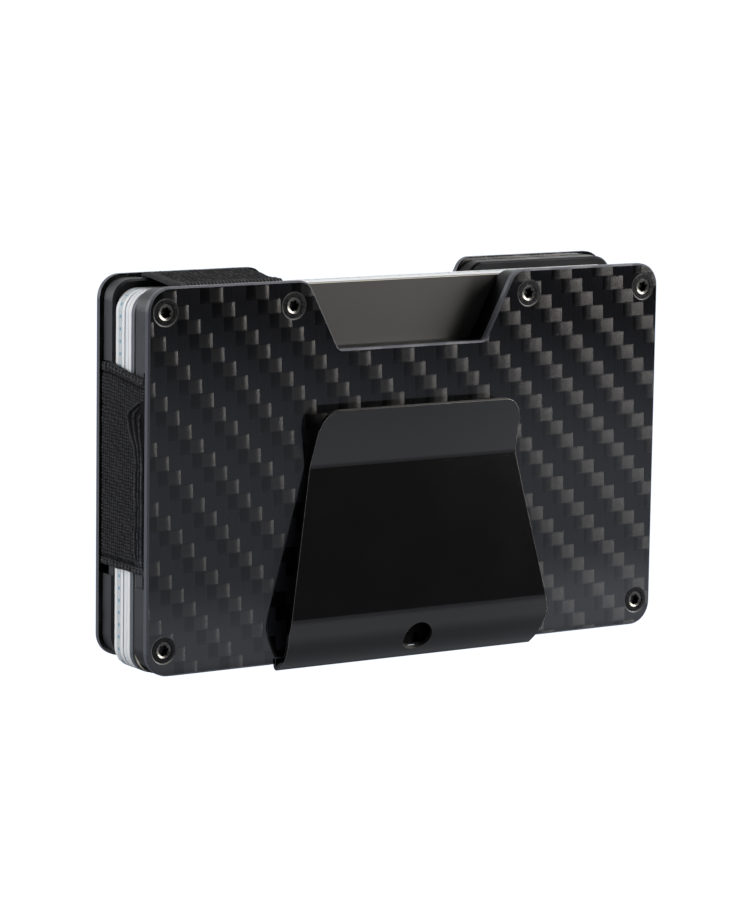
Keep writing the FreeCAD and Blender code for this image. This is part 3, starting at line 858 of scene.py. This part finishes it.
def card_look(name, face, edge, core=None, dotted=False):
    """A bank card: satin faces, and a sawn edge that shows its layers."""
    look = Look(name)
    m = look.math
    x, y, z = look.place()
    _, ny, nz = look.facing()
    flat = m("GREATER_THAN", m("ABSOLUTE", ny), CARD_FLAT)
    low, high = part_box(name)
    off = m("ABSOLUTE", m("SUBTRACT", y, (low.y + high.y) / 2 / MM))
    grain = look.noise((x, y, z), 4.0, 0.6, 6.0)
    cloudy = look.noise((x, y, z), 3.0, 0.55, 0.12)
    colour = look.mix(cloudy, face, tuple(c * 0.86 for c in face))
    colour = look.mix(m("MULTIPLY", grain, 0.25), colour, tuple(min(1.0, c * 1.3) for c in face))
    side = look.mix(m("MULTIPLY", grain, 0.5), edge, tuple(c * 0.8 for c in edge))
    if core:
        side = look.mix(look.span(off, 0.10, 0.16, 1.0, 0.0), side, core)
    if dotted:
        along_x, along_z = (m("FRACT", m("DIVIDE", v, DOT_PITCH)) for v in (x, z))
        on_top = m("GREATER_THAN", m("ABSOLUTE", nz), CARD_FLAT)
        dash = m("LESS_THAN", look.blend(on_top, along_z, along_x), DOT_SHARE)
        dash = m("MULTIPLY", dash, look.span(off, 0.2, 0.26, 1.0, 0.0))
        side = look.mix(dash, side, DOT_COLOUR)
    look.shade(Base_Color=look.mix(flat, side, colour), Roughness=look.blend(flat, 0.5, 0.42),
               Specular_IOR_Level=0.36)
    look.bump(m("MULTIPLY", grain, 0.003))
    return look.material


# Colour of each card's face, edge and core, whether its edge is dotted, and its slot
WHITE = ((0.80, 0.81, 0.83), (0.92, 0.93, 0.94), None, False, "card_white")
CARDS = {
    "card_1": ((0.032, 0.0315, 0.029), (0.62, 0.58, 0.46), None, False, "card_dark"),
    "card_2": ((0.16, 0.18, 0.21), (0.16, 0.18, 0.21), (0.07, 0.08, 0.10), False, "card_grey"),
    "card_3": WHITE,
    "card_4": ((0.74, 0.77, 0.80), (0.90, 0.92, 0.94), (0.8, 0.85, 0.9), False, "card_white"),
    "card_5": WHITE,
    "card_6": ((0.62, 0.70, 0.76), (0.62, 0.68, 0.71), None, True, "card_dotted"),
    "card_7": ((0.82, 0.83, 0.84), (0.93, 0.94, 0.94), None, False, "card_white"),
}


def dress(obj, material):
    """Give a piece its material."""
    obj.data.materials.clear()
    obj.data.materials.append(material)


def dress_all(clip, loop, strap):
    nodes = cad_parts
    front = ORIGIN_Z / MM
    back = front + BACK_RISE
    dress(nodes["front_outer_plate"], carbon_look("carbon_front", -1, front))
    dress(nodes["back_outer_plate"], carbon_look("carbon_back", 1, back))
    anodised = frame_look("anodised")
    dress(nodes["front_frame"], anodised)
    dress(nodes["back_frame"], anodised)
    dress(nodes["front_screws"], screw_look("screw_front", front))
    dress(nodes["back_screws"], screw_look("screw_back", back))
    thread = thread_look("thread")
    dress(nodes["front_stitching"], thread)
    dress(nodes["back_stitching"], thread)
    dress(clip, clip_look("clip"))
    knit = elastic_look("elastic")
    dress(loop, knit)
    dress(strap, knit)
    for name, (face, edge, core, dotted, slot) in CARDS.items():
        dress(nodes[name], card_look(name, face, edge, core, dotted))


# ---------------------------------------------------------------- studio


# Size, place, strength and colour of each softbox; all face the wallet
SOFTBOX_AIM = Vector((0, 0, 0.03))
SOFTBOXES = {
    "overhead": ((1.0, 1.0), (0.1, 0.1, 0.9), 1.25, (1, 1, 1)),
    "back_left": ((0.5, 0.6), (-0.8, 0.5, 0.35), 7.0, (1, 1, 1)),
    "right": ((0.55, 0.5), (0.655, -0.472, 0.31), 12.4, (1.0, 0.975, 0.95)),
}


def softbox(name, size, place, strength, colour):
    data = bpy.data.lights.new(name, "AREA")
    data.shape = "RECTANGLE"
    data.size, data.size_y = size
    data.energy = strength
    data.color = colour
    obj = add_object(name, data)
    obj.location = place
    obj.rotation_euler = (SOFTBOX_AIM - Vector(place)).to_track_quat("-Z", "Y").to_euler()


FLOOR_HALF = 6.0
FLOOR_COLOUR = (0.92, 0.97, 1.07, 1)
FLOOR_SHOWN = 1.1
# Strength in what the wallet mirrors: in front of it, at its foot, and past FLOOR_FADE (m)
FLOOR_GLOW = 0.23
FLOOR_FOOT = 0.43
FLOOR_FAR = 0.02
FLOOR_FADE = (0.16, 0.5)
FLOOR_FRONT = (0.0, -100.0)
FLOOR_FOOT_Y = (-75.0, -30.0)
# Painted shadow under the wallet over |y|, and painted light towards the right over x + FLOOR_SLANT *
# y
FLOOR_SHADE = (9.0, 17.0, 0.5, 1.0)
FLOOR_RIGHT = (0.0, 45.0, 1.0, 1.36)
FLOOR_SLANT = 0.64


def make_floor():
    """White floor, evenly bright to the camera; in what the wallet mirrors, its glow falls off to the
    front, as on a table, with a painted shadow under the wallet and painted light at its foot and
    towards the right.
    """
    h = FLOOR_HALF
    obj = add_mesh("floor", [(-h, -h, 0), (h, -h, 0), (h, h, 0), (-h, h, 0)], [(0, 1, 2, 3)])
    look = Look("floor")
    m = look.math
    look.tree.nodes.remove(look.shader)
    x, y, _ = look.place()
    gap = m("MULTIPLY", look.distance(x, y, 0.0, 0.0), MM)
    fade = m("MULTIPLY", look.span(gap, *FLOOR_FADE), look.span(y, *FLOOR_FRONT))
    near = look.blend(look.span(y, *FLOOR_FOOT_Y), FLOOR_GLOW, FLOOR_FOOT)
    # painted shadow under the wallet, then painted light towards the right
    near = m("MULTIPLY", near, look.span(m("ABSOLUTE", y), *FLOOR_SHADE))
    aside = look.total(x, m("MULTIPLY", y, FLOOR_SLANT))
    near = m("MULTIPLY", near, look.span(aside, *FLOOR_RIGHT))
    glow = look.blend(fade, near, FLOOR_FAR)
    white = look.node("Emission")
    white.inputs[0].default_value = FLOOR_COLOUR
    shown = look.node("LightPath").outputs["Is Camera Ray"]
    look.put(white.inputs[1], look.blend(shown, glow, FLOOR_SHOWN))
    look.put(look.tree.nodes["Material Output"].inputs[0], white.outputs[0])
    obj.data.materials.append(look.material)


# Strength of the surroundings: for soft rays, and in mirrors in front of the set and behind it,
# changing over WORLD_TURN of the ray's y
WORLD_DIM = 0.16
WORLD_FRONT = 0.02
WORLD_BACK = 0.8
WORLD_TURN = (-0.1, 0.35)


def make_world():
    """White to the camera; in reflections white behind the set and dark in front of it."""
    world = bpy.data.worlds.new("studio")
    bpy.context.scene.world = world
    world.use_nodes = True
    tree = world.node_tree
    back = tree.nodes["Background"]
    path = tree.nodes.new("ShaderNodeLightPath")
    coord = tree.nodes.new("ShaderNodeTexCoord")
    split = tree.nodes.new("ShaderNodeSeparateXYZ")
    ranged = tree.nodes.new("ShaderNodeMapRange")
    ranged.interpolation_type = "SMOOTHSTEP"
    for k, value in enumerate((*WORLD_TURN, WORLD_FRONT, WORLD_BACK)):
        ranged.inputs[k + 1].default_value = value
    mirrored = tree.nodes.new("ShaderNodeMix")
    shown = tree.nodes.new("ShaderNodeMix")
    mirrored.inputs[2].default_value = WORLD_DIM
    shown.inputs[3].default_value = 1.0
    back.inputs["Color"].default_value = (1, 1, 1, 1)
    for source, target in (
        (coord.outputs["Generated"], split.inputs[0]),
        (split.outputs[1], ranged.inputs[0]),
        (path.outputs["Is Glossy Ray"], mirrored.inputs[0]),
        (ranged.outputs[0], mirrored.inputs[3]),
        (path.outputs["Is Camera Ray"], shown.inputs[0]),
        (mirrored.outputs[0], shown.inputs[2]),
        (shown.outputs[0], back.inputs["Strength"]),
    ):
        tree.links.new(source, target)


def make_camera():
    """A camera that looks along yaw and pitch at CAMERA_AIM, shifted sideways and rolled."""
    yaw, pitch, roll = (math.radians(v) for v in (CAMERA_YAW, CAMERA_PITCH, CAMERA_ROLL))
    back = Vector((math.sin(yaw) * math.cos(pitch), -math.cos(yaw) * math.cos(pitch),
                   math.sin(pitch)))
    level = Vector((math.cos(yaw), math.sin(yaw), 0))
    upright = back.cross(level)
    right = level * math.cos(roll) + upright * math.sin(roll)
    up = upright * math.cos(roll) - level * math.sin(roll)
    data = bpy.data.cameras.new("camera")
    data.lens = CAMERA_LENS
    data.sensor_width = CAMERA_SENSOR
    data.clip_start = 0.01
    obj = add_object("camera", data)
    shift = right * CAMERA_SHIFT[0] + up * CAMERA_SHIFT[1]
    place = at(*CAMERA_AIM) + (back * CAMERA_FAR - shift) * MM
    turned = Matrix((right, up, back)).transposed().to_4x4()
    obj.matrix_world = Matrix.Translation(place) @ turned
    bpy.context.scene.camera = obj


dress_all(make_clip(), make_loop(), make_strap())

make_floor()
make_world()
for box_name, setting in SOFTBOXES.items():
    softbox(box_name, *setting)
make_camera()
bpy.context.scene.view_settings.view_transform = "Standard"
